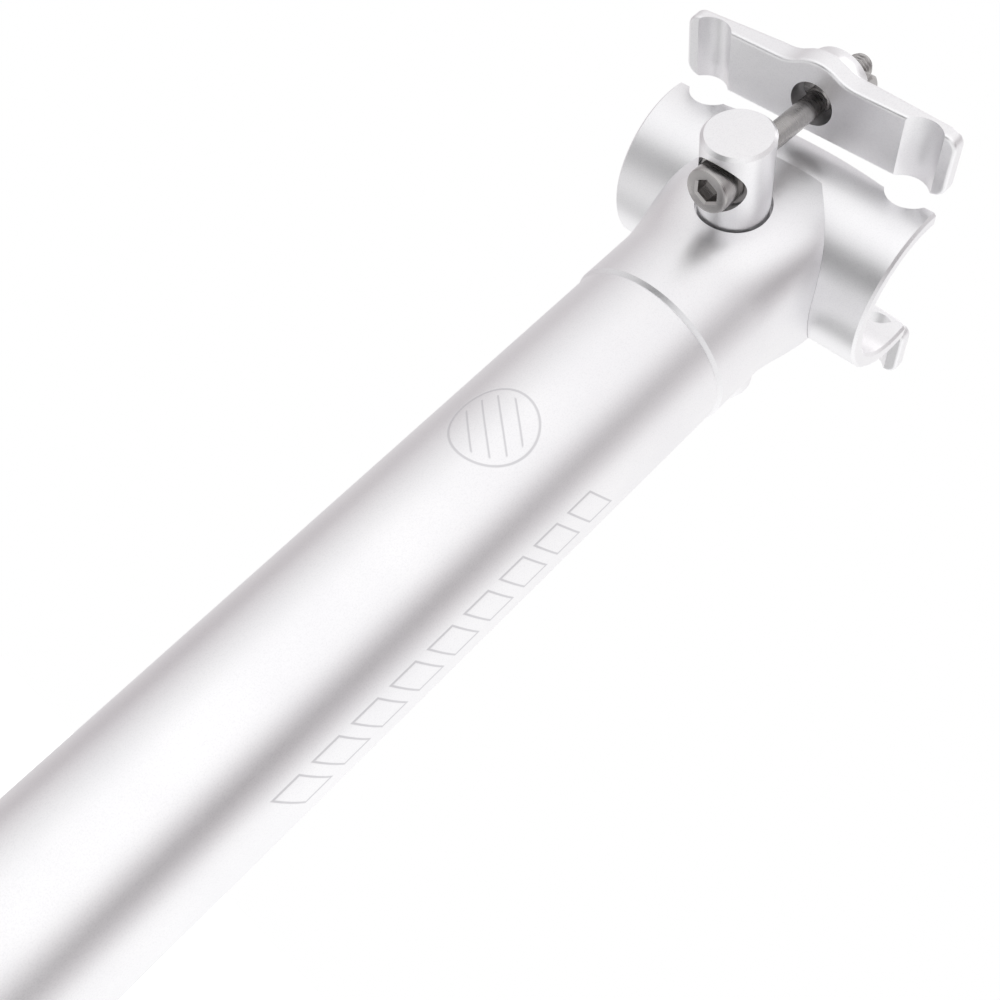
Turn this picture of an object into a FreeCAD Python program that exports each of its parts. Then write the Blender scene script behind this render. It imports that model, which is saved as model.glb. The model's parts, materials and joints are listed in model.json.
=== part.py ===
"""Suspension seatpost: an inverted telescopic post with a two-bolt saddle rail clamp.

Millimetres. +Z runs up the post, +X across it and -Y towards the front of the bicycle.
The origin is on the post's axis, at the lower end of the tube that the frame clamps.
"""
import math
import os
import re

import FreeCAD
import Part
import Sketcher

doc = FreeCAD.newDocument("SuspensionSeatpost")
sizes = doc.addObject("Spreadsheet::Sheet", "Sizes")

DIMENSIONS = {
    # Stanchion: the lower tube, held by the frame
    "shaft_radius": 13.6,
    "shaft_bore": 10.5,
    "shaft_top": 250,
    "shaft_chamfer": 0.8,
    "insertion_line": 100,
    "line_width": 0.6,
    "line_depth": 0.3,
    # Outer tube: slides down over the stanchion
    "ring_height": 355,
    "tube_radius": 16.95,
    "tube_bore": 14.5,
    "tube_foot": 160,
    "tube_thread": 16.3,
    "tube_thread_length": 12,
    "ring_groove": 0.25,
    "travel": 40,
    # Bushes, keys and seal between the two tubes
    "running_gap": 0.05,
    "bush_seat": 13.2,
    "bush_seat_foot": 236,
    "bush_seat_length": 12,
    "lower_bush_foot": 162,
    "lower_bush_length": 20,
    "key_width": 3,
    "key_inner": 12.4,
    "key_outer": 15.2,
    "key_foot": 212,
    "key_length": 20,
    "key_count": 3,
    "key_groove_spare": 10,
    "collar_radius": 19,
    "collar_foot": 150,
    "collar_edge": 0.8,
    "collar_lip": 1.5,
    "collar_mouth": 14.2,
    "collar_slot_width": 4,
    "collar_slot_depth": 1.4,
    "collar_slot_count": 6,
    "seal_outer": 15.6,
    "seal_height": 6,
    "seal_lip": 1.2,
    "seal_edge": 0.45,
    "seal_taper": 1,
    # Spring, its two seats and the preload plug
    "wire_radius": 1.6,
    "coil_radius": 8.4,
    "coil_turns": 12,
    "spring_foot": 28,
    "spring_top": 160,
    "seat_radius": 10.2,
    "seat_flange": 6,
    "seat_nose": 6,
    "seat_nose_length": 10,
    "seat_nose_taper": 1,
    "plug_foot": 10,
    "plug_key": 6,
    "plug_key_depth": 6,
    # Push rod, its bulkhead and the two stops
    "rod_radius": 5,
    "rod_socket": 10,
    "rod_tap_depth": 12,
    "rod_tap_spare": 2,
    "bulkhead_foot": 310,
    "bulkhead_top": 326,
    "clip_inner": 13,
    "clip_outer": 15.1,
    "clip_thickness": 1.2,
    "clip_gap": 5,
    "cap_length": 12,
    "cap_flange": 3,
    "stop_radius": 9.5,
    "stop_bore": 5.6,
    "stop_collar_foot": 226,
    "stop_collar_height": 5,
    "stop_gap": 0.2,
    "bump_radius": 11,
    "bump_skirt": 6,
    # Head
    "neck_radius": 17.4,
    "neck_bore": 11,
    "neck_bore_top": 10,
    "swell_foot": 12,
    "swell_top": 30,
    "swell_across": 18.8,
    "swell_power": 3,
    "ear_height": 38.2,
    "pin_height": 24.4,
    "pin_radius": 6.5,
    "pin_length": 66.8,
    "pin_edge": 0.6,
    "pin_recess": 0.45,
    "pin_recess_start": 15.2,
    "pin_recess_length": 5,
    # Cradle under the saddle rails
    "cradle_height": 41.3,
    "cradle_radius": 17,
    "cradle_half": 28.6,
    "cradle_bore": 14,
    "cradle_edge": 0.5,
    "rim_height": 2.7,
    "crown_half": 17.4,
    "crown_arc": 91,
    "rail_spacing": 44,
    "rail_groove": 4.5,
    "cradle_groove_depth": 2.6,
    "yoke_groove_depth": 2,
    # Clamp bolts
    "bolt_foot": 16,
    "bolt_out": 26.5,
    "bolt_lean": 4.2,
    "bolt_length": 45.6,
    "bolt_head_radius": 4.25,
    "bolt_head": 5,
    "bolt_shank": 2.2,
    "bolt_thread": 2.5,
    "bolt_thread_length": 15,
    "bolt_tip": 0.6,
    "bolt_edge": 0.4,
    "bolt_run_in": 0.3,
    "bolt_key": 4,
    "bolt_key_depth": 2.6,
    "bolt_hole": 2.75,
    "counterbore": 5.25,
    "washer_radius": 5,
    "washer_height": 1,
    "washer_gap": 0.03,
    # Yokes over the saddle rails, and their barrel nuts
    "nut_height": 53.5,
    "nut_radius": 4,
    "nut_length": 12,
    "nut_edge": 0.4,
    "nut_end_gap": 0.2,
    "yoke_offset": 1.1,
    "yoke_depth": 7.9,
    "yoke_half": 28.2,
    "yoke_half_width": 6.5,
    "yoke_tip": 2.8,
    "yoke_root": 4.1,
    "yoke_root_half": 9.5,
    "yoke_corner": 2.5,
    "yoke_blend": 8,
    "yoke_edge": 0.7,
    "boss_radius": 8.7,
    "boss_top_radius": 6.6,
    "boss_top": 0.4,
    "boss_arc": 6,
    "boss_edge": 0.5,
    "boss_sink": 0.1,
    "yoke_hole": 4.4,
}

for row, (alias, number) in enumerate(DIMENSIONS.items(), start=1):
    sizes.set(f"A{row}", alias)
    sizes.set(f"B{row}", str(number))
    sizes.setAlias(f"B{row}", alias)
doc.recompute()

ALIAS = re.compile(r"\b(" + "|".join(DIMENSIONS) + r")\b")
X_AXIS, Y_AXIS, Z_AXIS = FreeCAD.Vector(1, 0, 0), FreeCAD.Vector(0, 1, 0), FreeCAD.Vector(0, 0, 1)
ALONG_X = FreeCAD.Rotation(Y_AXIS, 90)
ALONG_Y = FreeCAD.Rotation(X_AXIS, -90)
SWELL_STEPS, ROUND_STEPS = 6, 48  # sections of the head, and points round each of them
pieces = []


def formula(text):
    """The expression with each size name pointed at the spreadsheet."""
    return ALIAS.sub(r"Sizes.\1", str(text))


def value(text):
    return float(sizes.evalExpression(formula(text)))


def bind(obj, **properties):
    """Binds properties to formulas; Placement.Base.x is written as x, and so on."""
    for name, text in properties.items():
        path = f".Placement.Base.{name}" if name in ("x", "y", "z") else name
        obj.setExpression(path, formula(text))
    return obj


def piece(obj, name):
    """Marks an object as a finished piece of the post."""
    obj.Label = name
    pieces.append(obj)
    return obj


# Outlines and solids -----------------------------------------------------------------------

def arc_side(start, end, radius):
    """A side as an arc. A positive radius bows it to the right of its direction of travel."""
    chord = end - start
    across = FreeCAD.Vector(-chord.y, chord.x, 0).normalize()
    reach = (radius ** 2 - (chord.Length / 2) ** 2) ** 0.5
    bow = abs(radius) - reach
    middle = (start + end) / 2 - across * (bow if radius > 0 else -bow)
    arc = Part.Arc(start, middle, end).toShape()
    return arc.Curve.trim(*arc.ParameterRange)


def outline(body, plane, corners, arcs=None):
    """A closed sketch. Corners are pairs of formulas; arcs gives the radius of a numbered side."""
    arcs = arcs or {}
    origin_plane = next(f for f in body.Origin.OriginFeatures if f.Role == plane)
    sketch = body.newObject("Sketcher::SketchObject", "Outline")
    sketch.AttachmentSupport = [(origin_plane, "")]
    sketch.MapMode = "FlatFace"
    points = [FreeCAD.Vector(value(across), value(up), 0) for across, up in corners]
    ends = []
    for number, start in enumerate(points):
        end = points[(number + 1) % len(points)]
        if number in arcs:
            sketch.addGeometry(arc_side(start, end, value(arcs[number])), False)
            first = sketch.getPoint(number, 1)
            ends.append((1, 2) if first.distanceToPoint(start) < 1e-6 else (2, 1))
        else:
            sketch.addGeometry(Part.LineSegment(start, end), False)
            ends.append((1, 2))
    for number in range(len(points)):
        after = (number + 1) % len(points)
        sketch.addConstraint(
            Sketcher.Constraint("Coincident", number, ends[number][1], after, ends[after][0]))
    for number, (across, up) in enumerate(corners):
        place_corner(sketch, "DistanceX", number, ends[number][0], across, -2)
        place_corner(sketch, "DistanceY", number, ends[number][0], up, -1)
    for number, radius in arcs.items():
        index = sketch.addConstraint(
            Sketcher.Constraint("Radius", number, abs(value(radius))))
        sketch.setExpression(f"Constraints[{index}]", formula(f"abs({radius})"))
    return sketch


def place_corner(sketch, kind, side, end, text, axis):
    """Holds one coordinate of a corner: on the axis where it is zero, else at its formula."""
    distance = value(text)
    if abs(distance) < 1e-9:
        sketch.addConstraint(Sketcher.Constraint("PointOnObject", side, end, axis))
        return
    if distance > 0:
        constraint = Sketcher.Constraint(kind, -1, 1, side, end, distance)
        signed = f"{text}"
    else:
        constraint = Sketcher.Constraint(kind, side, end, -1, 1, -distance)
        signed = f"-({text})"
    index = sketch.addConstraint(constraint)
    sketch.setExpression(f"Constraints[{index}]", formula(signed))


def turned(name, corners, arcs=None, axis="V_Axis"):
    """A body turned from half its section: (radius, height) about Z, or (x, radius) about X."""
    body = doc.addObject("PartDesign::Body", name)
    section = outline(body, "XZ_Plane", corners, arcs)
    turn = body.newObject("PartDesign::Revolution", "Turned")
    turn.Profile = section
    turn.ReferenceAxis = (section, [axis])
    turn.Angle = 360
    body.Tip = turn
    return body


def ring(name, inner, outer, foot, top):
    return turned(name, [(inner, foot), (outer, foot), (outer, top), (inner, top)])


def slab(name, corners, width, arcs=None, plane="XZ_Plane"):
    """A body with one outline, padded by half the width on each side of its plane."""
    body = doc.addObject("PartDesign::Body", name)
    section = outline(body, plane, corners, arcs)
    pad = body.newObject("PartDesign::Pad", "Slab")
    pad.Profile = section
    pad.Midplane = True
    bind(pad, Length=width)
    body.Tip = pad
    return body


def rod(name, radius, length, rotation=None, **place):
    """A cylinder centred along its own axis on the place given."""
    turn = rotation or FreeCAD.Rotation()
    cylinder = doc.addObject("Part::Cylinder", name)
    bind(cylinder, Radius=radius, Height=length)
    back = turn.multVec(Z_AXIS)
    cylinder.Placement.Rotation = turn
    for letter, part in zip("xyz", back):
        middle = place.get(letter, "0")
        bind(cylinder, **{letter: f"({middle}) - ({part:.9f}) * ({length}) / 2"})
    return cylinder


def hex_socket(name, key, depth):
    """A six-sided cutter, as deep as the socket, standing on Z = 0."""
    prism = doc.addObject("Part::Prism", name)
    prism.Polygon = 6
    bind(prism, Circumradius=f"{key} / sqrt(3)", Height=depth)
    return prism


def cut(name, base, *tools):
    """The base with one or more tools taken out of it."""
    result = base
    for number, tool in enumerate(tools):
        step = doc.addObject("Part::Cut", f"{name}_{number}")
        step.Base, step.Tool = result, tool
        result = step
    return result


def around(count, make):
    """The same cutter or key, repeated round the Z axis."""
    copies = []
    for number in range(int(value(count))):
        copy = make(number)
        copy.Placement.Rotation = FreeCAD.Rotation(Z_AXIS, 360 * number / value(count))
        copies.append(copy)
    return copies


def radial_bar(name, inner, outer, width, foot, height):
    """Makes one bar that points outwards from the Z axis at a given step of a ring of bars."""
    def make(number):
        top = f"{foot} + {height}"
        return slab(f"{name}_{number}",
                    [(inner, foot), (outer, foot), (outer, top), (inner, top)], width)
    return make


# Telescopic post -----------------------------------------------------------------------------

def make_lower_tube():
    line_foot = "insertion_line - line_width"
    blank = turned("LowerTube", [
        ("shaft_bore", "0"),
        ("shaft_radius - shaft_chamfer", "0"),
        ("shaft_radius", "shaft_chamfer"),
        ("shaft_radius", line_foot),
        ("shaft_radius - line_depth", line_foot),
        ("shaft_radius - line_depth", "insertion_line"),
        ("shaft_radius", "insertion_line"),
        ("shaft_radius", "bush_seat_foot"),
        ("bush_seat", "bush_seat_foot"),
        ("bush_seat", "bush_seat_foot + bush_seat_length"),
        ("shaft_radius", "bush_seat_foot + bush_seat_length"),
        ("shaft_radius", "shaft_top"),
        ("shaft_bore", "shaft_top"),
    ])
    slots = around("key_count", radial_bar(
        "KeySlot", "key_inner", "tube_radius", "key_width", "key_foot", "key_length"))
    piece(cut("LowerTubeSlotted", blank, *slots), "lower_tube")


def make_upper_tube():
    blank = turned("UpperTube", [
        ("tube_bore", "tube_foot"),
        ("tube_thread", "tube_foot"),
        ("tube_thread", "tube_foot + tube_thread_length"),
        ("tube_radius", "tube_foot + tube_thread_length"),
        ("tube_radius", "ring_height - ring_groove"),
        ("tube_radius - ring_groove", "ring_height"),
        ("tube_bore", "ring_height"),
        ("tube_bore", "bulkhead_foot"),
        ("clip_outer", "bulkhead_foot"),
        ("clip_outer", "bulkhead_foot - clip_thickness"),
        ("tube_bore", "bulkhead_foot - clip_thickness"),
    ])
    grooves = around("key_count", radial_bar(
        "KeyGroove", "key_inner", "key_outer + 2 * running_gap", "key_width + 2 * running_gap",
        "tube_foot - 1", "key_foot + key_length + travel + key_groove_spare - tube_foot"))
    piece(cut("UpperTubeGrooved", blank, *grooves), "upper_tube")


def make_guides():
    """The two bushes, the keys that stop the head turning, and the wiper."""
    piece(ring("UpperBush", "bush_seat", "tube_bore - running_gap",
               "bush_seat_foot", "bush_seat_foot + bush_seat_length"), "upper_bush")
    piece(ring("LowerBush", "shaft_radius + running_gap", "tube_bore",
               "lower_bush_foot", "lower_bush_foot + lower_bush_length"), "lower_bush")
    keys = doc.addObject("Part::Compound", "Keys")
    keys.Links = around("key_count", radial_bar(
        "Key", "key_inner", "key_outer", "key_width", "key_foot", "key_length"))
    piece(keys, "anti_rotation_keys")
    seal_foot = "collar_foot + collar_lip"
    piece(turned("Wiper", [
        ("shaft_radius + 2 * running_gap", "collar_foot - seal_lip"),
        ("shaft_radius + seal_edge", "collar_foot - seal_lip"),
        ("shaft_radius + seal_edge + 2 * running_gap", seal_foot),
        ("seal_outer", seal_foot),
        ("seal_outer", f"{seal_foot} + seal_height"),
        ("collar_mouth", f"{seal_foot} + seal_height"),
        ("shaft_radius + 2 * running_gap", f"{seal_foot} + seal_taper"),
    ]), "wiper_seal")


def make_collar():
    """The ring nut at the outer tube's foot, with notches for a hook spanner."""
    blank = turned("Collar", [
        ("collar_mouth", "collar_foot"),
        ("collar_radius - collar_edge", "collar_foot"),
        ("collar_radius", "collar_foot + collar_edge"),
        ("collar_radius", "tube_foot + tube_thread_length - collar_edge"),
        ("collar_radius - collar_edge", "tube_foot + tube_thread_length"),
        ("tube_thread", "tube_foot + tube_thread_length"),
        ("tube_thread", "tube_foot"),
        ("seal_outer", "tube_foot"),
        ("seal_outer", "collar_foot + collar_lip"),
        ("collar_mouth", "collar_foot + collar_lip"),
    ])
    slots = around("collar_slot_count", radial_bar(
        "CollarSlot", "collar_radius - collar_slot_depth", "collar_radius + 1",
        "collar_slot_width", "collar_foot - 1", "tube_foot + tube_thread_length / 2 - collar_foot"))
    piece(cut("CollarSlotted", blank, *slots), "collar_nut")


def make_spring():
    """A coil with ground ends: a helix longer than the spring, trimmed flat at both ends."""
    helix = doc.addObject("Part::Helix", "Coil")
    bind(helix, Pitch="(spring_top - spring_foot) / coil_turns",
         Height="spring_top - spring_foot", Radius="coil_radius", z="spring_foot")
    wire = doc.addObject("Part::Circle", "Wire")
    wire.Placement.Rotation = ALONG_Y
    bind(wire, Radius="wire_radius", x="coil_radius", z="spring_foot")
    sweep = doc.addObject("Part::Sweep", "SpringWire")
    sweep.Sections = [wire]
    sweep.Spine = (helix, [])
    sweep.Solid, sweep.Frenet = True, True
    trim = rod("SpringTrim", "tube_radius", "spring_top - spring_foot",
               z="(spring_top + spring_foot) / 2")
    spring = doc.addObject("Part::Common", "Spring")
    spring.Base, spring.Tool = sweep, trim
    piece(spring, "coil_spring")


def make_spring_seats():
    piece(turned("SpringSeat", [
        ("0", "spring_foot - seat_flange"),
        ("seat_radius", "spring_foot - seat_flange"),
        ("seat_radius", "spring_foot"),
        ("seat_nose", "spring_foot"),
        ("seat_nose - seat_nose_taper", "spring_foot + seat_nose_length"),
        ("0", "spring_foot + seat_nose_length"),
    ]), "spring_seat")
    socket_foot = "spring_top + seat_flange - rod_socket"
    piece(turned("SpringPusher", [
        ("0", "spring_top - seat_nose_length"),
        ("seat_nose - seat_nose_taper", "spring_top - seat_nose_length"),
        ("seat_nose", "spring_top"),
        ("seat_radius", "spring_top"),
        ("seat_radius", "spring_top + seat_flange"),
        ("rod_radius", "spring_top + seat_flange"),
        ("rod_radius", socket_foot),
        ("0", socket_foot),
    ]), "spring_pusher")
    blank = ring("PreloadPlug", "0", "shaft_bore - running_gap",
                 "plug_foot", "spring_foot - seat_flange")
    key = bind(hex_socket("PlugKey", "plug_key", "plug_key_depth"), z="plug_foot")
    piece(cut("PreloadPlugSocket", blank, key), "preload_plug")


def make_push_rod():
    """The rod that carries the load from the head down to the spring, and what holds it."""
    tapped = "bulkhead_foot - rod_tap_depth"
    piece(turned("PushRod", [
        ("0", "spring_top + seat_flange - rod_socket"),
        ("rod_radius", "spring_top + seat_flange - rod_socket"),
        ("rod_radius", "bulkhead_foot"),
        ("bolt_thread", "bulkhead_foot"),
        ("bolt_thread", tapped),
        ("0", tapped),
    ]), "push_rod")
    piece(ring("Bulkhead", "bolt_hole", "tube_bore", "bulkhead_foot", "bulkhead_top"), "bulkhead")
    blank = turned("RodBolt", [
        ("0", f"{tapped} + rod_tap_spare"),
        ("bolt_thread", f"{tapped} + rod_tap_spare"),
        ("bolt_thread", "bulkhead_top"),
        ("bolt_head_radius", "bulkhead_top"),
        ("bolt_head_radius", "bulkhead_top + bolt_head"),
        ("0", "bulkhead_top + bolt_head"),
    ])
    key = bind(hex_socket("RodBoltKey", "bolt_key", "bolt_key_depth"),
               z="bulkhead_top + bolt_head - bolt_key_depth")
    piece(cut("RodBoltSocket", blank, key), "push_rod_bolt")
    clip = ring("Clip", "clip_inner", "clip_outer",
                "bulkhead_foot - clip_thickness", "bulkhead_foot")
    gap = radial_bar("ClipGap", "clip_inner - 1", "clip_outer + 1", "clip_gap",
                     "bulkhead_foot - clip_thickness - 1", "clip_thickness + 2")(0)
    piece(cut("ClipOpen", clip, gap), "retaining_ring")


def make_stops():
    """The cap that guides the push rod, and the stops at both ends of the travel."""
    collar_top = "stop_collar_foot + stop_collar_height"
    piece(turned("TubeCap", [
        ("rod_radius + running_gap", "shaft_top - cap_length"),
        ("shaft_bore", "shaft_top - cap_length"),
        ("shaft_bore", "shaft_top"),
        ("shaft_radius - line_depth", "shaft_top"),
        ("shaft_radius - line_depth", "shaft_top + cap_flange"),
        ("rod_radius + running_gap", "shaft_top + cap_flange"),
    ]), "lower_tube_cap")
    piece(ring("StopCollar", "rod_radius", "stop_radius", "stop_collar_foot", collar_top),
          "top_out_collar")
    piece(ring("TopOutBumper", "stop_bore", "stop_radius",
               f"{collar_top} + stop_gap", "shaft_top - cap_length"), "top_out_bumper")
    bump_top = "bulkhead_foot - travel - stop_gap"
    piece(turned("BumpStop", [
        ("stop_bore", "shaft_top + cap_flange"),
        ("bump_radius", "shaft_top + cap_flange"),
        ("bump_radius", "shaft_top + cap_flange + bump_skirt"),
        ("stop_radius", bump_top),
        ("stop_bore", bump_top),
    ]), "bump_stop")


# Head ----------------------------------------------------------------------------------------

def seat_cutter(name):
    """The round trough that the cradle tilts in."""
    return rod(name, "cradle_radius + running_gap", "4 * neck_radius", ALONG_X,
               z="ring_height + cradle_height")


def squared_round(height):
    """The head's section at a height above the ring: a circle that swells and squares up."""
    share = (height - value("swell_foot")) / value("swell_top - swell_foot")
    share = min(max(share, 0), 1)
    share = share * share * (3 - 2 * share)
    across = value("neck_radius") + share * value("swell_across - neck_radius")
    along = value("neck_radius")
    power = 2 / (2 + share * value("swell_power - 2"))
    points = []
    for step in range(ROUND_STEPS):
        turn = 2 * math.pi * step / ROUND_STEPS
        x, y = math.cos(turn), math.sin(turn)
        points.append(FreeCAD.Vector(
            math.copysign(across * abs(x) ** power, x),
            math.copysign(along * abs(y) ** power, y),
            value("ring_height") + height))
    curve = Part.BSplineCurve()
    curve.interpolate(points, PeriodicFlag=True)
    return Part.Wire(curve.toShape())


def make_swell():
    """The head above the neck: lofted through its squared-round sections, then straight up."""
    foot, top = value("swell_foot"), value("swell_top")
    sections = [squared_round(foot + (top - foot) * step / SWELL_STEPS)
                for step in range(SWELL_STEPS + 1)]
    swelling = Part.makeLoft(sections, True, False)
    straight = Part.Face(sections[-1]).extrude(Z_AXIS * value("ear_height - swell_top"))
    swell = doc.addObject("Part::Feature", "Swell")
    swell.Shape = swelling.fuse(straight)
    return swell


def make_neck():
    below = turned("Neck", [
        ("neck_bore", "bulkhead_top"),
        ("tube_bore", "bulkhead_top"),
        ("tube_bore", "ring_height"),
        ("tube_radius - ring_groove", "ring_height"),
        ("neck_radius", "ring_height + neck_radius - tube_radius + ring_groove"),
        ("neck_radius", "ring_height + swell_foot"),
        ("neck_bore", "ring_height + swell_foot"),
    ])
    blank = doc.addObject("Part::MultiFuse", "NeckBlank")
    blank.Shapes = [below, make_swell()]
    hollow = ring("NeckHollow", "0", "neck_bore", "ring_height - 1", "ring_height + neck_bore_top")
    bore = rod("PinBore", "pin_radius", "pin_length", ALONG_Y, z="ring_height + pin_height")
    recesses = [
        rod(f"PinRecess{name}", "pin_radius + pin_recess", "pin_recess_length", ALONG_Y,
            y=f"{side} * (pin_recess_start + pin_recess_length / 2)", z="ring_height + pin_height")
        for name, side in (("Front", -1), ("Rear", 1))
    ]
    piece(cut("NeckBored", blank, hollow, seat_cutter("NeckSeat"), bore, *recesses), "head_neck")


def on_bolt(obj, side):
    """Puts a solid, made along Z from the bolt head's face, on a bolt's own line."""
    obj.Placement.Rotation = FreeCAD.Rotation(FreeCAD.Vector(side, 0, 0), value("bolt_lean"))
    return bind(obj, x="0", y=f"{side} * bolt_out", z="ring_height + bolt_foot")


def make_cross_pin():
    """One bar through the neck: it carries both bolts, and the cradle's seat trims its middle."""
    half = "pin_length / 2"
    bar = turned("CrossPin", [
        (f"-{half}", "0"),
        (f"{half}", "0"),
        (f"{half}", "pin_radius - pin_edge"),
        (f"{half} - pin_edge", "pin_radius"),
        (f"-{half} + pin_edge", "pin_radius"),
        (f"-{half}", "pin_radius - pin_edge"),
    ], axis="H_Axis")
    bar.Placement.Rotation = FreeCAD.Rotation(Z_AXIS, 90)
    bind(bar, z="ring_height + pin_height")
    tools = [seat_cutter("PinSeat")]
    washer_top = "bolt_head + washer_height"
    for name, side in (("Front", -1), ("Rear", 1)):
        hole = ring(f"{name}BoltHole", "0", "bolt_hole", "0", "bolt_length")
        face = ring(f"{name}Counterbore", "0", "counterbore", "-bolt_head", washer_top)
        tools += [on_bolt(hole, side), on_bolt(face, side)]
    piece(cut("CrossPinDrilled", bar, *tools), "cross_pin")


def make_cradle():
    """A half-round trough along X that tilts in the head's seat, with notches for the rails."""
    end, bevel = "cradle_half", "cradle_half - cradle_edge"
    trough = turned("Trough", [
        (f"-({bevel})", "cradle_bore"),
        (bevel, "cradle_bore"),
        (end, "cradle_bore + cradle_edge"),
        (end, "cradle_radius - cradle_edge"),
        (bevel, "cradle_radius"),
        (f"-({bevel})", "cradle_radius"),
        (f"-{end}", "cradle_radius - cradle_edge"),
        (f"-{end}", "cradle_bore + cradle_edge"),
    ], axis="H_Axis")
    lower = slab("TroughKeep", [
        ("-cradle_half - 1", "-cradle_radius - 1"),
        ("cradle_half + 1", "-cradle_radius - 1"),
        ("cradle_half + 1", "rim_height"),
        ("crown_half", "rim_height"),
        ("-crown_half", "rim_height"),
        ("-cradle_half - 1", "rim_height"),
    ], "3 * cradle_radius", arcs={3: "crown_arc"})
    kept = doc.addObject("Part::Common", "TroughOpen")
    kept.Base, kept.Tool = trough, lower
    grooves = [
        rod(f"CradleGroove{name}", "rail_groove", "4 * cradle_radius", ALONG_Y,
            x=f"{side} * rail_spacing / 2", z="rim_height - cradle_groove_depth + rail_groove")
        for name, side in (("Left", -1), ("Right", 1))
    ]
    cradle = cut("CradleGrooved", kept, *grooves)
    bind(cradle, z="ring_height + cradle_height")
    piece(cradle, "cradle")


def make_bolt(name, side):
    shank_top = "bolt_length - bolt_thread_length"
    blank = turned(f"{name}Bolt", [
        ("0", "0"),
        ("bolt_head_radius - bolt_edge", "0"),
        ("bolt_head_radius", "bolt_edge"),
        ("bolt_head_radius", "bolt_head"),
        ("bolt_shank", "bolt_head"),
        ("bolt_shank", shank_top),
        ("bolt_thread", f"{shank_top} + bolt_run_in"),
        ("bolt_thread", "bolt_length - bolt_tip"),
        ("bolt_thread - bolt_tip", "bolt_length"),
        ("0", "bolt_length"),
    ])
    bolt = cut(f"{name}BoltSocket", blank, hex_socket(f"{name}Key", "bolt_key", "bolt_key_depth"))
    piece(on_bolt(bolt, side), f"bolt_{name.lower()}")
    washer = ring(f"{name}Washer", "bolt_hole", "washer_radius",
                  "bolt_head + washer_gap", "bolt_head + washer_height")
    piece(on_bolt(washer, side), f"washer_{name.lower()}")


def at_nut(obj, side):
    """Puts a solid made about the front nut's centre at the front, or turned round at the rear."""
    obj.Placement.Rotation = FreeCAD.Rotation(Z_AXIS, 0 if side < 0 else 180)
    inwards = "(nut_height - bolt_foot) * tan(bolt_lean)"
    return bind(obj, x="0", y=f"{side} * (bolt_out - {inwards})", z="ring_height + nut_height")


def leaning(name, radius, foot, top):
    """A cylinder on the front bolt's line, from foot to top along it from the nut's centre."""
    hole = ring(name, "0", radius, foot, top)
    hole.Placement.Rotation = FreeCAD.Rotation(FreeCAD.Vector(-1, 0, 0), value("bolt_lean"))
    return hole


def make_nut(name, side):
    half = "nut_length / 2"
    barrel = turned(f"{name}Nut", [
        (f"-{half}", "0"),
        (f"{half}", "0"),
        (f"{half}", "nut_radius - nut_edge"),
        (f"{half} - nut_edge", "nut_radius"),
        (f"-{half} + nut_edge", "nut_radius"),
        (f"-{half}", "nut_radius - nut_edge"),
    ], axis="H_Axis")
    hole = leaning(f"{name}NutHole", "bolt_thread + running_gap", "-2 * nut_radius", "2 * nut_radius")
    piece(at_nut(cut(f"{name}NutTapped", barrel, hole), side), f"nut_{name.lower()}")


def wing_plan(name):
    """The yoke from above: straight on the inner side, and blended into a round boss outside."""
    reach = "(boss_radius + yoke_blend)"
    blend_x = f"sqrt({reach}^2 - (yoke_half_width + yoke_blend)^2)"
    meet_x = f"{blend_x} * boss_radius / {reach}"
    meet_y = f"-(yoke_half_width + yoke_blend) * boss_radius / {reach}"
    corner_x, corner_y = "(yoke_half - yoke_corner)", "(yoke_half_width - yoke_corner)"
    plan = slab(name, [
        ("yoke_half", corner_y), (corner_x, "yoke_half_width"),
        (f"-{corner_x}", "yoke_half_width"), ("-yoke_half", corner_y),
        ("-yoke_half", f"-{corner_y}"), (f"-{corner_x}", "-yoke_half_width"),
        (f"-{blend_x}", "-yoke_half_width"), (f"-{meet_x}", meet_y),
        (meet_x, meet_y), (blend_x, "-yoke_half_width"),
        (corner_x, "-yoke_half_width"), ("yoke_half", f"-{corner_y}"),
    ], "4 * yoke_depth", {
        0: "yoke_corner", 2: "yoke_corner", 4: "yoke_corner", 10: "yoke_corner",
        6: "-yoke_blend", 7: "boss_radius", 8: "-yoke_blend",
    }, plane="XY_Plane")
    return bind(plan, y="-yoke_offset")


def wing_side(name):
    """The yoke from the front: flat below, and thickening from its tips to its middle."""
    return slab(name, [
        ("-yoke_half - 1", "-yoke_depth"),
        ("yoke_half + 1", "-yoke_depth"),
        ("yoke_half + 1", "-yoke_depth + yoke_tip"),
        ("yoke_root_half", "-yoke_depth + yoke_root"),
        ("-yoke_root_half", "-yoke_depth + yoke_root"),
        ("-yoke_half - 1", "-yoke_depth + yoke_tip"),
    ], "6 * yoke_half_width")


def outline_edges(shape):
    """The edges round the wings' underside and top, but not the upright ones or the creases."""
    return [
        number for number, edge in enumerate(shape.Edges, start=1)
        if edge.BoundBox.ZLength < edge.Length / 3
        and (edge.BoundBox.XLength > 0.01 or abs(edge.CenterOfMass.x) > value("yoke_root_half + 1"))
    ]


def make_wings(name, plan):
    """The wings, with rounded edges all round above and below."""
    sharp = doc.addObject("Part::Common", f"{name}WingsSharp")
    sharp.Base, sharp.Tool = plan, wing_side(f"{name}Side")
    doc.recompute()
    wings = doc.addObject("Part::Fillet", f"{name}Wings")
    wings.Base = sharp
    radius = value("yoke_edge")
    wings.Edges = [(number, radius, radius) for number in outline_edges(sharp.Shape)]
    return wings


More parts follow.
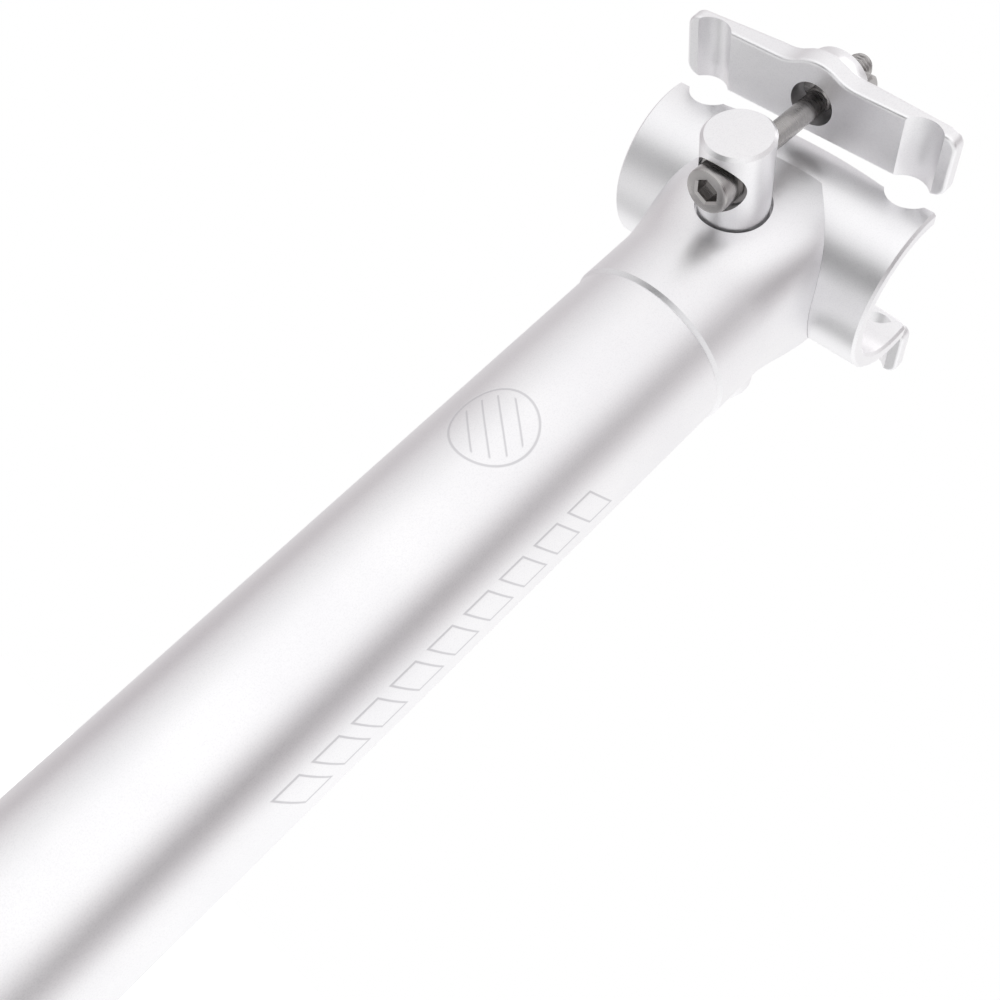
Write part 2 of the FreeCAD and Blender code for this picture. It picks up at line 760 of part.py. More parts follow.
def make_yoke(name, side):
    boss = turned(f"{name}Boss", [
        ("0", "-yoke_depth + 1"),
        ("boss_radius - yoke_edge", "-yoke_depth + 1"),
        ("boss_radius - yoke_edge", "-yoke_depth + yoke_root - boss_sink"),
        ("boss_top_radius", "boss_top - boss_edge"),
        ("boss_top_radius - boss_edge", "boss_top"),
        ("0", "boss_top"),
    ], arcs={2: "-boss_arc"})
    bind(boss, y="-yoke_offset")
    plan = wing_plan(f"{name}Plan")
    trimmed = doc.addObject("Part::Common", f"{name}BossTrimmed")
    trimmed.Base, trimmed.Tool = boss, plan
    solid = doc.addObject("Part::MultiFuse", f"{name}YokeBlank")
    solid.Shapes = [make_wings(name, plan), trimmed]
    hole = ring(f"{name}YokeHole", "0", "yoke_hole", "-2 * yoke_depth", "0")
    tools = [
        rod(f"{name}NutSeat", "nut_radius + running_gap", "nut_length + 2 * nut_end_gap", ALONG_X),
        bind(hole, y="-yoke_offset"),
    ] + [
        rod(f"{name}Groove{hand}", "rail_groove", "6 * yoke_half_width", ALONG_Y,
            x=f"{way} * rail_spacing / 2", z="-yoke_depth + yoke_groove_depth - rail_groove")
        for hand, way in (("Left", -1), ("Right", 1))
    ]
    piece(at_nut(cut(f"{name}YokeCut", solid, *tools), side), f"yoke_{name.lower()}")


# The whole post --------------------------------------------------------------------------------

def make_post():
    make_lower_tube()
    make_upper_tube()
    make_guides()
    make_collar()
    make_spring()
    make_spring_seats()
    make_push_rod()
    make_stops()
    make_neck()
    make_cross_pin()
    make_cradle()
    for name, side in (("Front", -1), ("Rear", 1)):
        make_bolt(name, side)
        make_nut(name, side)
        make_yoke(name, side)


def check_and_export():
    doc.recompute()
    for obj in doc.Objects:
        faults = {"Invalid", "Error"} & set(obj.State)
        if faults:
            raise RuntimeError(f"{obj.Name} ({obj.Label}) is {sorted(faults)}")
    for obj in pieces:
        if obj.Shape.isNull() or not obj.Shape.isValid() or not obj.Shape.Solids:
            raise RuntimeError(f"{obj.Label} has no valid solid")
    os.makedirs("parts", exist_ok=True)
    for obj in pieces:
        obj.Shape.exportStep(f"parts/{obj.Label}.step")
        print(f"{obj.Label}: {len(obj.Shape.Solids)} solid, {obj.Shape.Volume:.1f} mm3")


make_post()
check_and_export()
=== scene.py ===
"""Looks of the suspension seatpost: materials, threaded bolts, spring, studio and camera.

Metres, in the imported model's frame: +Z up the post, +X across it, -Y towards the front.
"""
import json
import math

import bmesh
import bpy
from mathutils import Matrix, Vector


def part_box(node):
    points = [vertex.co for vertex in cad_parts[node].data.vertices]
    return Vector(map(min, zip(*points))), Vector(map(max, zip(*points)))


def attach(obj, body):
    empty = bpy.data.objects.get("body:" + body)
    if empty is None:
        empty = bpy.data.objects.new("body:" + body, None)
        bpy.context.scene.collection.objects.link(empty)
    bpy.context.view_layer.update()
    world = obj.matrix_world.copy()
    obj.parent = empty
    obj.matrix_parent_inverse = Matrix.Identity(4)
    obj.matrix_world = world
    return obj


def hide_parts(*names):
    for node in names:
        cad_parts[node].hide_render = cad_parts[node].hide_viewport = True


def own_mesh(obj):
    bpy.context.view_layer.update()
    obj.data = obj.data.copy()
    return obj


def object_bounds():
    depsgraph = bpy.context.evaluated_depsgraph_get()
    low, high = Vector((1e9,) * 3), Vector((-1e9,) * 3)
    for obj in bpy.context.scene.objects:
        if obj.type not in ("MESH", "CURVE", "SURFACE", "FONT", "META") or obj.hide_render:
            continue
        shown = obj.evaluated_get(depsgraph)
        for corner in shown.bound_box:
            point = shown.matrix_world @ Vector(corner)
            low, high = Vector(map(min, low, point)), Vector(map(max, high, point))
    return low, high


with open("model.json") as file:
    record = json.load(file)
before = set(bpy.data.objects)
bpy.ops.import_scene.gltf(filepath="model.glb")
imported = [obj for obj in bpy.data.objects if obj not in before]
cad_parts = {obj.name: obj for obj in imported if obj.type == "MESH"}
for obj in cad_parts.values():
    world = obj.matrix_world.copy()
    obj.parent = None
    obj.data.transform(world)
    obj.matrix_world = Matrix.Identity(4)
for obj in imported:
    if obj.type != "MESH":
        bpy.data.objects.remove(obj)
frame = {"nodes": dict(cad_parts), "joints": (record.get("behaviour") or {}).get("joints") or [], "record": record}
cad_box = [list(corner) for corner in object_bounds()]
MM = 0.001
WHITE = (1, 1, 1, 1)
UP = Vector((0, 0, 1))
joint = {j["name"]: j for j in frame["joints"]}


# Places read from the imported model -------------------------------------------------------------

_, TUBE_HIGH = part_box("upper_tube")
RING = TUBE_HIGH.z                      # the fine joint between tube and head
TUBE_RADIUS = TUBE_HIGH.x
POST_FOOT = cad_box[0][2]


# Node helpers ----------------------------------------------------------------------------------

class Nodes:
    """Short spellings for the nodes that the materials and the studio share."""

    def __init__(self, tree):
        self.tree = tree

    def add(self, kind, **settings):
        node = self.tree.nodes.new(kind)
        for name, value in settings.items():
            setattr(node, name, value)
        return node

    def feed(self, socket, value):
        """Links a socket to another, or sets it to a plain value."""
        if isinstance(value, bpy.types.NodeSocket):
            self.tree.links.new(value, socket)
        else:
            socket.default_value = value

    def math(self, operation, *values):
        node = self.add("ShaderNodeMath", operation=operation)
        for socket, value in zip(node.inputs, values):
            self.feed(socket, value)
        return node.outputs[0]

    def plus(self, first, second):
        return self.math("ADD", first, second)

    def minus(self, first, second):
        return self.math("SUBTRACT", first, second)

    def times(self, first, second):
        return self.math("MULTIPLY", first, second)

    def place(self):
        """The point in the object's frame, in metres, as a vector and as x, y, z."""
        texture = self.add("ShaderNodeTexCoord")
        split = self.add("ShaderNodeSeparateXYZ")
        self.feed(split.inputs[0], texture.outputs["Object"])
        return texture.outputs["Object"], split.outputs

    def along_z(self, z):
        """A vector with only a height, for patterns that run in rings."""
        node = self.add("ShaderNodeCombineXYZ")
        self.feed(node.inputs[2], z)
        return node.outputs[0]

    def noise(self, vector, scale, detail=3.0, roughness=0.55):
        node = self.add("ShaderNodeTexNoise")
        self.feed(node.inputs["Vector"], vector)
        node.inputs["Scale"].default_value = scale
        node.inputs["Detail"].default_value = detail
        node.inputs["Roughness"].default_value = roughness
        return node.outputs["Fac"]

    def span(self, value, low, high, out_low=0.0, out_high=1.0):
        """Maps low..high to out_low..out_high, and holds the ends beyond them."""
        node = self.add("ShaderNodeMapRange")
        node.clamp = True
        for socket, number in zip(node.inputs, (value, low, high, out_low, out_high)):
            self.feed(socket, number)
        return node.outputs[0]

    def blend(self, share, first, second):
        """The first colour at a share of 0, the second at 1."""
        node = self.add("ShaderNodeMix", data_type="RGBA")
        self.feed(node.inputs[0], share)
        self.feed(node.inputs[6], first)
        self.feed(node.inputs[7], second)
        return node.outputs[2]

    def bump(self, height, depth, below=None):
        """Relief of the given depth in metres for a height of 0 to 1."""
        node = self.add("ShaderNodeBump")
        node.inputs["Strength"].default_value = 1.0
        node.inputs["Distance"].default_value = depth
        self.feed(node.inputs["Height"], height)
        if below is not None:
            self.feed(node.inputs["Normal"], below)
        return node.outputs[0]


def new_material(name, metallic, roughness):
    """A Principled material with its node helper and shader."""
    material = bpy.data.materials.new(name)
    material.use_nodes = True
    nodes = Nodes(material.node_tree)
    shader = material.node_tree.nodes["Principled BSDF"]
    shader.inputs["Metallic"].default_value = metallic
    shader.inputs["Roughness"].default_value = roughness
    return material, nodes, shader


# Etched marks on the tube ----------------------------------------------------------------------

ETCH_LINE = 0.42 * MM
ETCH_EDGE = 0.08 * MM                   # how far the line's edge fades each way
EMBLEM_HEIGHT = RING - 37.4 * MM
EMBLEM_RADIUS = 7.6 * MM
BAR_PITCH = 3.6 * MM
BAR_SLOPE = 0.8
BARS_END = EMBLEM_RADIUS - 1.2 * MM     # the bars fade out before they reach the ring
BARS_FULL = EMBLEM_RADIUS - 1.5 * MM
MARKS_FOOT = RING - 102 * MM
MARKS_ANGLE = math.radians(79)          # round the tube from the front
MARK_COUNT = 9
MARK_PITCH = 8.1 * MM
MARK_HALF_LENGTH = MARK_PITCH * 0.33
MARK_HALF_HEIGHT = 3.2 * MM
MARK_LEAN = -0.55


def etched_marks(nodes):
    """1 on the etched lines: a ring with slanted bars in front, and a row of slanted frames."""
    _, (x, y, z) = nodes.place()
    angle = nodes.math("ARCTAN2", x, nodes.times(y, -1.0))

    def line(distance):
        half = ETCH_LINE / 2
        return nodes.span(nodes.math("ABSOLUTE", distance), half + ETCH_EDGE, half - ETCH_EDGE)

    across = nodes.times(angle, TUBE_RADIUS)
    up = nodes.minus(z, EMBLEM_HEIGHT)
    away = nodes.math("SQRT", nodes.plus(nodes.times(across, across), nodes.times(up, up)))
    ring = line(nodes.minus(away, EMBLEM_RADIUS))
    slant = nodes.plus(up, nodes.times(across, BAR_SLOPE))
    wave = nodes.math("PINGPONG", nodes.plus(slant, BAR_PITCH), BAR_PITCH)
    inside = nodes.span(away, BARS_END, BARS_FULL)
    bars = nodes.times(line(nodes.minus(wave, BAR_PITCH / 2)), inside)

    row = nodes.times(nodes.minus(angle, MARKS_ANGLE), TUBE_RADIUS)
    along = nodes.minus(z, MARKS_FOOT)
    leaning = nodes.plus(along, nodes.times(row, MARK_LEAN))
    cell = nodes.minus(nodes.math("MODULO", leaning, MARK_PITCH), MARK_PITCH / 2)
    beyond_length = nodes.minus(nodes.math("ABSOLUTE", cell), MARK_HALF_LENGTH)
    beyond_height = nodes.minus(nodes.math("ABSOLUTE", row), MARK_HALF_HEIGHT)
    outline = line(nodes.math("MAXIMUM", beyond_length, beyond_height))
    in_row = nodes.times(nodes.math("GREATER_THAN", leaning, 0.0),
                         nodes.math("LESS_THAN", leaning, MARK_COUNT * MARK_PITCH))
    frames = nodes.times(outline, in_row)
    return nodes.math("MAXIMUM", nodes.math("MAXIMUM", ring, bars), frames)


# Materials -------------------------------------------------------------------------------------

BLASTED = (0.90, 0.895, 0.905, 1)
CLOUDED = (0.875, 0.87, 0.885, 1)
PITTED = (0.74, 0.735, 0.755, 1)
ETCHED = (0.66, 0.655, 0.675, 1)
BLASTED_METALLIC = 0.93
GRAIN_SCALE, GRAIN_SHARE, GRAIN_DEPTH = 4200, 0.6, 0.012 * MM
CLOUD_SCALE, CLOUD_SHARE = 45, 0.4
ETCH_TINT, ETCH_ROUGHNESS, ETCH_DEPTH = 0.8, 0.18, 0.02 * MM
STAIN_SCALE = 160
MOTTLE_SCALE, MOTTLE_DEPTH = 600, 0.02 * MM


def blasted_aluminium(name, marked=False):
    """Bead-blasted silver: a fine grain, faint clouding, and on the tube the etched marks."""
    material, nodes, shader = new_material(name, BLASTED_METALLIC, 0.4)
    where, _ = nodes.place()
    grain = nodes.noise(where, GRAIN_SCALE, 2.0, 0.6)
    cloud = nodes.noise(where, CLOUD_SCALE, 4.0)
    mixed = nodes.plus(nodes.times(grain, GRAIN_SHARE), nodes.times(cloud, CLOUD_SHARE))
    rough = nodes.span(mixed, 0.3, 0.7, 0.30, 0.40)
    tint = nodes.blend(nodes.span(cloud, 0.35, 0.65), BLASTED, CLOUDED)
    tint = nodes.blend(nodes.span(grain, 0.32, 0.55, 0.35, 0.0), tint, PITTED)
    relief = nodes.bump(grain, GRAIN_DEPTH)
    if marked:
        etch = etched_marks(nodes)
        tint = nodes.blend(nodes.times(etch, ETCH_TINT), tint, ETCHED)
        rough = nodes.plus(rough, nodes.times(etch, ETCH_ROUGHNESS))
        relief = nodes.bump(nodes.minus(1.0, etch), ETCH_DEPTH, relief)
    nodes.feed(shader.inputs["Base Color"], tint)
    nodes.feed(shader.inputs["Roughness"], rough)
    nodes.feed(shader.inputs["Normal"], relief)
    return material


def turned_metal(name, colour, dark, roughness, groove=900, depth=0.006 * MM):
    """Metal from a lathe or a drawing die: fine rings, and a little staining."""
    material, nodes, shader = new_material(name, 1.0, roughness)
    where, (_, _, z) = nodes.place()
    rings = nodes.noise(nodes.along_z(z), groove, 2.0)
    stain = nodes.noise(where, STAIN_SCALE, 5.0)
    tint = nodes.blend(nodes.span(stain, 0.35, 0.7), colour, dark)
    nodes.feed(shader.inputs["Base Color"], tint)
    rough = nodes.span(rings, 0.3, 0.7, roughness - 0.06, roughness + 0.08)
    nodes.feed(shader.inputs["Roughness"], rough)
    nodes.feed(shader.inputs["Normal"], nodes.bump(rings, depth))
    return material


def moulded(name, colour, dark, roughness, subsurface=0.0):
    """Rubber, elastomer or acetal: even colour with a faint mottle and a matt skin."""
    material, nodes, shader = new_material(name, 0.0, roughness)
    where, _ = nodes.place()
    mottle = nodes.noise(where, MOTTLE_SCALE, 3.0)
    tint = nodes.blend(nodes.span(mottle, 0.35, 0.65), colour, dark)
    nodes.feed(shader.inputs["Base Color"], tint)
    rough = nodes.span(mottle, 0.3, 0.7, roughness - 0.07, roughness + 0.07)
    nodes.feed(shader.inputs["Roughness"], rough)
    nodes.feed(shader.inputs["Normal"], nodes.bump(mottle, MOTTLE_DEPTH))
    shader.inputs["Subsurface Weight"].default_value = subsurface
    return material


tube_metal = blasted_aluminium("blasted_tube", marked=True)
head_metal = blasted_aluminium("blasted_head")
drawn_metal = turned_metal("drawn_aluminium", (0.80, 0.80, 0.815, 1), (0.76, 0.76, 0.775, 1),
                           0.24, groove=1300, depth=0.001 * MM)
lathe_metal = turned_metal("turned_aluminium", (0.83, 0.83, 0.84, 1), (0.76, 0.76, 0.775, 1),
                           0.30, groove=2600, depth=0.02 * MM)
bolt_metal = turned_metal("bolt_steel", (0.46, 0.445, 0.44, 1), (0.38, 0.37, 0.365, 1),
                          0.27, groove=1800, depth=0.002 * MM)
# Painted shade: the inside of the hex socket is near-black, standing in for the shade in the recess
painted_shade_socket = turned_metal("socket_painted_shade", (0.02, 0.02, 0.02, 1), (0.01, 0.01, 0.01, 1),
                            0.7, groove=1800)
spring_metal = turned_metal("spring_steel", (0.20, 0.20, 0.215, 1), (0.13, 0.13, 0.14, 1),
                            0.35, groove=700)
brass = turned_metal("key_brass", (0.72, 0.56, 0.27, 1), (0.62, 0.47, 0.22, 1),
                     0.32, groove=1500)
black_rubber = moulded("seal_rubber", (0.022, 0.022, 0.023, 1), (0.035, 0.035, 0.036, 1), 0.62)
amber = moulded("elastomer", (0.62, 0.33, 0.07, 1), (0.54, 0.28, 0.06, 1), 0.42,
                subsurface=0.15)
acetal = moulded("bearing_plastic", (0.83, 0.82, 0.78, 1), (0.78, 0.77, 0.73, 1), 0.45)

SLOT_MATERIAL = {
    "blasted_aluminium": head_metal,
    "drawn_aluminium": drawn_metal,
    "turned_aluminium": lathe_metal,
    "bolt_steel": bolt_metal,
    "spring_steel": spring_metal,
    "seal_rubber": black_rubber,
    "elastomer": amber,
    "bearing_plastic": acetal,
    "key_brass": brass,
}


def paint(obj, material):
    obj.data.materials.clear()
    obj.data.materials.append(material)


def finish_nodes():
    """Gives every CAD node the material of its slot; the tube has the one with marks."""
    for part in frame["record"]["subparts"]:
        paint(frame["nodes"][part["node"]], SLOT_MATERIAL[part["material_slot"]])
    paint(frame["nodes"]["upper_tube"], tube_metal)


# Surfaces from rings of points -----------------------------------------------------------------

def circle_steps(count):
    """The angles of that many even steps round a circle."""
    return [2 * math.pi * step / count for step in range(count)]


def skin(mesh, rows):
    """Closes a row of rings into a surface; returns the bands of faces and the first cap."""
    bands = []
    for lower, upper in zip(rows, rows[1:]):
        band = []
        for here in range(len(lower)):
            after = (here + 1) % len(lower)
            corners = (lower[here], lower[after], upper[after], upper[here])
            band.append(mesh.faces.new(corners))
        bands.append(band)
    first_cap = mesh.faces.new(list(reversed(rows[0])))
    mesh.faces.new(rows[-1])
    return bands, first_cap


def place_mesh(name, mesh):
    """Turns a finished bmesh into an object of the scene."""
    data = bpy.data.meshes.new(name)
    mesh.to_mesh(data)
    mesh.free()
    obj = bpy.data.objects.new(name, data)
    bpy.context.scene.collection.objects.link(obj)
    return obj


def place_smooth(name, mesh):
    """The same for a rounded surface, with its faces turned outward and shaded smooth."""
    bmesh.ops.recalc_face_normals(mesh, faces=mesh.faces)
    obj = place_mesh(name, mesh)
    for face in obj.data.polygons:
        face.use_smooth = True
    return obj


# Threaded bolts, in millimetres from the face of the head --------------------------------------

TURN_STEPS = 96
BOLT_LENGTH = 45.6
HEAD_RADIUS, HEAD_LENGTH = 4.25, 5.0
HEAD_ROUNDING = ((0.0, 0.45), (0.12, 0.18), (0.4, 0.04), (0.7, 0.0))  # height, cut off the radius
HEAD_BACK_LENGTH, HEAD_BACK_CUT = 0.3, 0.2
FILLET_LENGTH, FILLET_WIDTH = 0.3, 0.25
KEY_ACROSS, KEY_DEPTH = 4.0, 2.6
KEY_BEVEL_LENGTH, KEY_BEVEL_WIDTH = 0.45, 0.40
DRILL_POINT, DRILL_SHARE = 0.5, 0.93    # the point below the hexagon, and its share of the width
SOCKET_BANDS = 4                        # the first bands of faces are the inside of the socket
SHANK_RADIUS, SHANK_MARGIN = 2.2, 0.4
THREAD_LENGTH, THREAD_PITCH, THREAD_RADIUS, THREAD_DEPTH = 15.0, 0.8, 2.49, 0.42
GROOVE_HALF = 0.42                      # half the groove's width, as a share of the pitch
RUN_IN, RUN_OUT, TIP_CUT = 1.2, 0.7, 0.5
RINGS_PER_PITCH = 8
AXIS_RADIUS = 0.001                     # closes a surface on the axis
WELD_DISTANCE = 0.004 * MM              # in metres
SHARP_ANGLE = math.radians(38)


def hexagon(angle, across):
    """Distance to a hexagon's side in a given direction."""
    sector = math.pi / 3
    return across / 2 / math.cos((angle + sector / 2) % sector - sector / 2)


def even(radius):
    """A round ring, as a radius for every angle."""
    return lambda angle: radius


def head_rings():
    """From the floor of the socket, over the head's face and round to the shank."""
    def key(angle):
        return hexagon(angle, KEY_ACROSS)

    rings = [
        (KEY_DEPTH + DRILL_POINT, even(AXIS_RADIUS)),
        (KEY_DEPTH, lambda angle: DRILL_SHARE * key(angle)),
        (KEY_DEPTH, key),
        (KEY_BEVEL_LENGTH, key),
        (0.0, lambda angle: key(angle) + KEY_BEVEL_WIDTH),
    ]
    for height, cut in HEAD_ROUNDING:
        rings.append((height, even(HEAD_RADIUS - cut)))
    rings += [
        (HEAD_LENGTH - HEAD_BACK_LENGTH, even(HEAD_RADIUS)),
        (HEAD_LENGTH, even(HEAD_RADIUS - HEAD_BACK_CUT)),
        (HEAD_LENGTH, even(SHANK_RADIUS + FILLET_WIDTH)),
        (HEAD_LENGTH + FILLET_LENGTH, even(SHANK_RADIUS)),
    ]
    return rings


def thread_rings():
    """The helical thread, which grows out of the shank and narrows at the tip."""
    thread_foot = BOLT_LENGTH - THREAD_LENGTH
    rings = [(thread_foot - SHANK_MARGIN, even(SHANK_RADIUS))]
    steps = int(THREAD_LENGTH / THREAD_PITCH * RINGS_PER_PITCH)
    for step in range(steps + 1):
        height = thread_foot + THREAD_LENGTH * step / steps
        run_in = min(1.0, (height - thread_foot) / RUN_IN)
        run_out = max(0.0, (height - (BOLT_LENGTH - RUN_OUT)) / RUN_OUT)

        def ridge(angle, height=height, run_in=run_in, run_out=run_out):
            phase = (height / THREAD_PITCH - angle / (2 * math.pi)) % 1.0
            groove = max(0.0, 1.0 - abs(phase - 0.5) / GROOVE_HALF)
            crest = SHANK_RADIUS + (THREAD_RADIUS - SHANK_RADIUS) * run_in
            depth = THREAD_DEPTH * run_in * groove
            return (crest - depth) - TIP_CUT * run_out * (1 - 0.5 * groove)
        rings.append((height, ridge))
    rings.append((BOLT_LENGTH, even(AXIS_RADIUS)))
    return rings


def make_bolt(name, node, joint_name):
    """A socket bolt with a real thread, on the line of its own joint."""
    mesh = bmesh.new()
    rows = []
    for height, radius in head_rings() + thread_rings():
        row = []
        for angle in circle_steps(TURN_STEPS):
            reach = radius(angle) * MM
            row.append(mesh.verts.new((reach * math.cos(angle), reach * math.sin(angle),
                                       height * MM)))
        rows.append(row)
    bands, socket_floor = skin(mesh, rows)
    # the socket's floor and walls take the painted shade material
    socket_floor.material_index = 1
    for band in bands[:SOCKET_BANDS]:
        for face in band:
            face.material_index = 1
    bmesh.ops.remove_doubles(mesh, verts=mesh.verts, dist=WELD_DISTANCE)
    bolt = place_smooth(name, mesh)
    along = Vector(joint[joint_name]["axis"]).normalized()
    foot = Vector(joint[joint_name]["pos_m"])
    turn = UP.rotation_difference(along).to_matrix().to_4x4()
    bolt.data.transform(Matrix.Translation(foot) @ turn)
    bolt.data.set_sharp_from_angle(angle=SHARP_ANGLE)
    paint(bolt, bolt_metal)
    bolt.data.materials.append(painted_shade_socket)
    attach(bolt, joint[joint_name]["child"])
    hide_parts(node)


# Spring ----------------------------------------------------------------------------------------

WIRE_RADIUS = 1.6 * MM
COIL_TURNS, FOOT_TURNS = 12, 3  # the turns in all, and those of the foot
COIL_CUT = 0.001                # the part of a turn that is left out between the two
TURN_SECTIONS, WIRE_SIDES = 40, 16


def make_coil(name, first_turn, last_turn):
    """The stretch of the spring between two counts of turns, from its foot."""
    low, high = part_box("coil_spring")
    mean = high.x - WIRE_RADIUS
    foot, top = low.z + WIRE_RADIUS, high.z - WIRE_RADIUS
    mesh = bmesh.new()
    rows = []
    count = round((last_turn - first_turn) * TURN_SECTIONS)
    for step in range(count + 1):
        turns = first_turn + (last_turn - first_turn) * step / count
        angle = 2 * math.pi * turns
        outward = Vector((math.cos(angle), math.sin(angle), 0))
        centre = outward * mean + UP * (foot + (top - foot) * turns / COIL_TURNS)
        row = []
        for side in circle_steps(WIRE_SIDES):
            row.append(mesh.verts.new(centre + outward * (WIRE_RADIUS * math.cos(side))
                                      + UP * (WIRE_RADIUS * math.sin(side))))
        rows.append(row)
    skin(mesh, rows)
    coil = place_smooth(name, mesh)
    paint(coil, spring_metal)
    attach(coil, "shaft")
    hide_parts("coil_spring")
    return coil


def make_spring():
    """Two stretches of the spring that meet at a fixed height."""
    low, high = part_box("coil_spring")
    wire_span = high.z - low.z - 2 * WIRE_RADIUS
    meeting = low.z + WIRE_RADIUS + wire_span * FOOT_TURNS / COIL_TURNS
    stretches = (
        ("spring_coil_foot", 0, FOOT_TURNS, "preload_travel", meeting - low.z),
        ("spring_coil", FOOT_TURNS + COIL_CUT, COIL_TURNS, "suspension_travel", high.z - meeting),
    )
    for name, first_turn, last_turn, joint_name, length in stretches:
        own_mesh(make_coil(name, first_turn, last_turn))


# Floor -----------------------------------------------------------------------------------------

FLOOR_RADIUS, FLOOR_SIDES, FLOOR_GAP = 4.0, 96, 0.001
PAPER = (0.93, 0.93, 0.935, 1)
PALE_PAPER = (0.95, 0.95, 0.955, 1)
PAPER_GLOW = 0.35


def make_floor():
    """A wide pale floor under the post's foot. The camera sees it glow; nothing mirrors it."""
    mesh = bmesh.new()
    bmesh.ops.create_circle(mesh, cap_ends=True, radius=FLOOR_RADIUS, segments=FLOOR_SIDES)
    floor = place_mesh("floor", mesh)
    floor.location.z = POST_FOOT - FLOOR_GAP
    material, nodes, shader = new_material("floor_paper", 0.0, 0.85)
    where, _ = nodes.place()
    mottle = nodes.span(nodes.noise(where, 3.0), 0.3, 0.7)
    nodes.feed(shader.inputs["Base Color"], nodes.blend(mottle, PAPER, PALE_PAPER))
    rays = nodes.add("ShaderNodeLightPath")
    shader.inputs["Emission Color"].default_value = WHITE
    nodes.feed(shader.inputs["Emission Strength"],
               nodes.times(rays.outputs["Is Camera Ray"], PAPER_GLOW))
    paint(floor, material)
    floor.visible_glossy = False


# Studio: a white light tent, with levels of 1 for white ----------------------------------------

# Brightness round the post, as (share of the turn from -X by way of -Y, level)
TENT_ROUND = ((0.00, 0.48), (0.06, 0.78), (0.13, 1.02), (0.20, 1.26), (0.36, 1.26), (0.41, 0.72),
              (0.455, 0.14), (0.50, 0.66), (0.56, 1.18), (0.80, 1.14), (0.95, 0.68), (1.00, 0.48))
TENT_TOP, TOP_SHARE = 0.84, 0.62
TENT_BOTTOM, BOTTOM_SHARE = 1.02, 0.8
# The dark fold lies this far down, in front of the post and behind it, and fades at its edges
FOLD_FRONT, FOLD_BACK = 0.73, 0.66
FOLD_CORE, FOLD_EDGE = 0.13, 0.21
FOLD_LEFT, FOLD_RIGHT, FOLD_BEHIND = 0.35, 0.1, 0.6     # how dark it is on those sides

KEY_HEIGHT, KEY_FORWARD = 0.95, 0.10
KEY_SIZE, KEY_POWER = 0.4, 0.6


def lilac(level):
    """A grey that turns faintly pink as it darkens, as the tent's folds do."""
    bright = min(level, 1.0)
    return (level, level * (0.86 + 0.14 * bright), level * (0.91 + 0.09 * bright), 1)


def tent_round(nodes, x, y):
    """The tent's brightness at the height of the post, by direction."""
    ramp = nodes.add("ShaderNodeValToRGB")
    nodes.feed(ramp.inputs[0], nodes.span(nodes.math("ARCTAN2", y, x), -math.pi, math.pi))
    ramp.color_ramp.interpolation = "EASE"
    elements = ramp.color_ramp.elements
    while len(elements) > 1:
        elements.remove(elements[-1])
    elements[0].position = TENT_ROUND[0][0]
    elements[0].color = lilac(TENT_ROUND[0][1])
    for position, level in TENT_ROUND[1:]:
        elements.new(position).color = lilac(level)
    return ramp.outputs[0]


def tent_fold(nodes, x, y, z):
    """How much of the tent's dark lower fold lies in a direction, from 0 to 1."""
    below = nodes.plus(z, nodes.span(y, -0.3, 0.1, FOLD_FRONT, FOLD_BACK))
    core = nodes.span(nodes.math("ABSOLUTE", below), FOLD_CORE, FOLD_EDGE, 1.0, 0.0)
    across = nodes.times(nodes.span(x, -0.5, -0.35, FOLD_LEFT, 1.0),
                         nodes.span(x, -0.1, 0.2, 1.0, FOLD_RIGHT))
    along = nodes.span(y, -0.2, 0.2, 1.0, FOLD_BEHIND)
    return nodes.times(core, nodes.times(across, along))


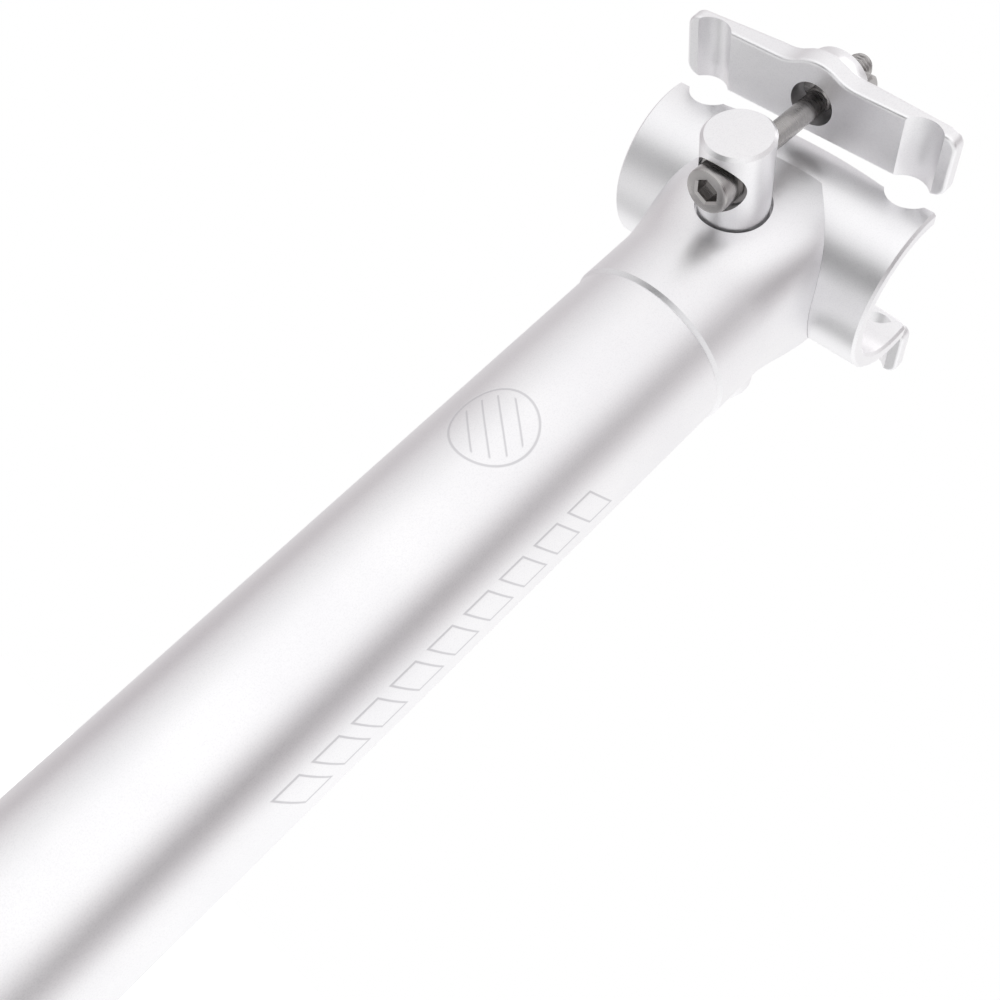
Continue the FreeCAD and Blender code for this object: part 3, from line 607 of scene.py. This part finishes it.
def studio_world():
    """The tent lights the post and shows in it. The camera sees plain white instead."""
    world = bpy.data.worlds.new("studio")
    bpy.context.scene.world = world
    world.use_nodes = True
    nodes = Nodes(world.node_tree)
    world.node_tree.nodes.clear()
    texture = nodes.add("ShaderNodeTexCoord")
    split = nodes.add("ShaderNodeSeparateXYZ")
    nodes.feed(split.inputs[0], texture.outputs["Generated"])
    x, y, z = split.outputs
    above = nodes.blend(nodes.span(z, 0.0, 0.75, 0.0, TOP_SHARE), tent_round(nodes, x, y),
                        lilac(TENT_TOP))
    below = nodes.blend(nodes.span(z, -0.15, -0.5, 0.0, BOTTOM_SHARE), above,
                        lilac(TENT_BOTTOM))
    around = nodes.blend(tent_fold(nodes, x, y, z), below, lilac(0.0))
    tent = nodes.add("ShaderNodeBackground")
    nodes.feed(tent.inputs[0], around)
    plain = nodes.add("ShaderNodeBackground")
    plain.inputs[0].default_value = WHITE
    rays = nodes.add("ShaderNodeLightPath")
    mix = nodes.add("ShaderNodeMixShader")
    nodes.feed(mix.inputs[0], rays.outputs["Is Camera Ray"])
    nodes.feed(mix.inputs[1], tent.outputs[0])
    nodes.feed(mix.inputs[2], plain.outputs[0])
    out = nodes.add("ShaderNodeOutputWorld")
    nodes.feed(out.inputs[0], mix.outputs[0])


def make_key_light():
    """A softbox high over the head."""
    light = bpy.data.lights.new("key", "AREA")
    light.shape = "SQUARE"
    light.size, light.energy = KEY_SIZE, KEY_POWER
    key = bpy.data.objects.new("key", light)
    place = Vector((0.0, -KEY_FORWARD, RING + KEY_HEIGHT))
    key.location = place
    key.rotation_mode = "QUATERNION"
    key.rotation_quaternion = (UP * RING - place).to_track_quat("-Z", "Y")
    bpy.context.scene.collection.objects.link(key)


# Camera ----------------------------------------------------------------------------------------

CAMERA_RIGHT = Vector((0.7143, 0.1097, 0.6912))
CAMERA_BACK = Vector((0.4297, -0.8483, -0.3093))
CAMERA_PLACE = Vector((0.0909, -0.1751, RING - 0.1047))
SENSOR_WIDTH, LENS = 36.0, 43.04
NEAREST = 0.01


def make_camera():
    """Below the head and in front of it, rolled so that the post runs up to the right."""
    right = CAMERA_RIGHT.normalized()
    back = (CAMERA_BACK - right * CAMERA_BACK.dot(right)).normalized()
    up = back.cross(right)
    data = bpy.data.cameras.new("camera")
    data.sensor_width = SENSOR_WIDTH
    data.lens = LENS
    data.clip_start = NEAREST
    camera = bpy.data.objects.new("camera", data)
    turn = Matrix((right, up, back)).transposed()
    camera.matrix_world = Matrix.Translation(CAMERA_PLACE) @ turn.to_4x4()
    bpy.context.scene.collection.objects.link(camera)
    bpy.context.scene.camera = camera


# Everything ------------------------------------------------------------------------------------

bpy.context.scene.view_settings.view_transform = "Standard"
finish_nodes()
make_camera()
studio_world()
make_key_light()
make_floor()
make_bolt("bolt_front_threaded", "bolt_front", "front_bolt_turn")
make_bolt("bolt_rear_threaded", "bolt_rear", "rear_bolt_turn")
make_spring()
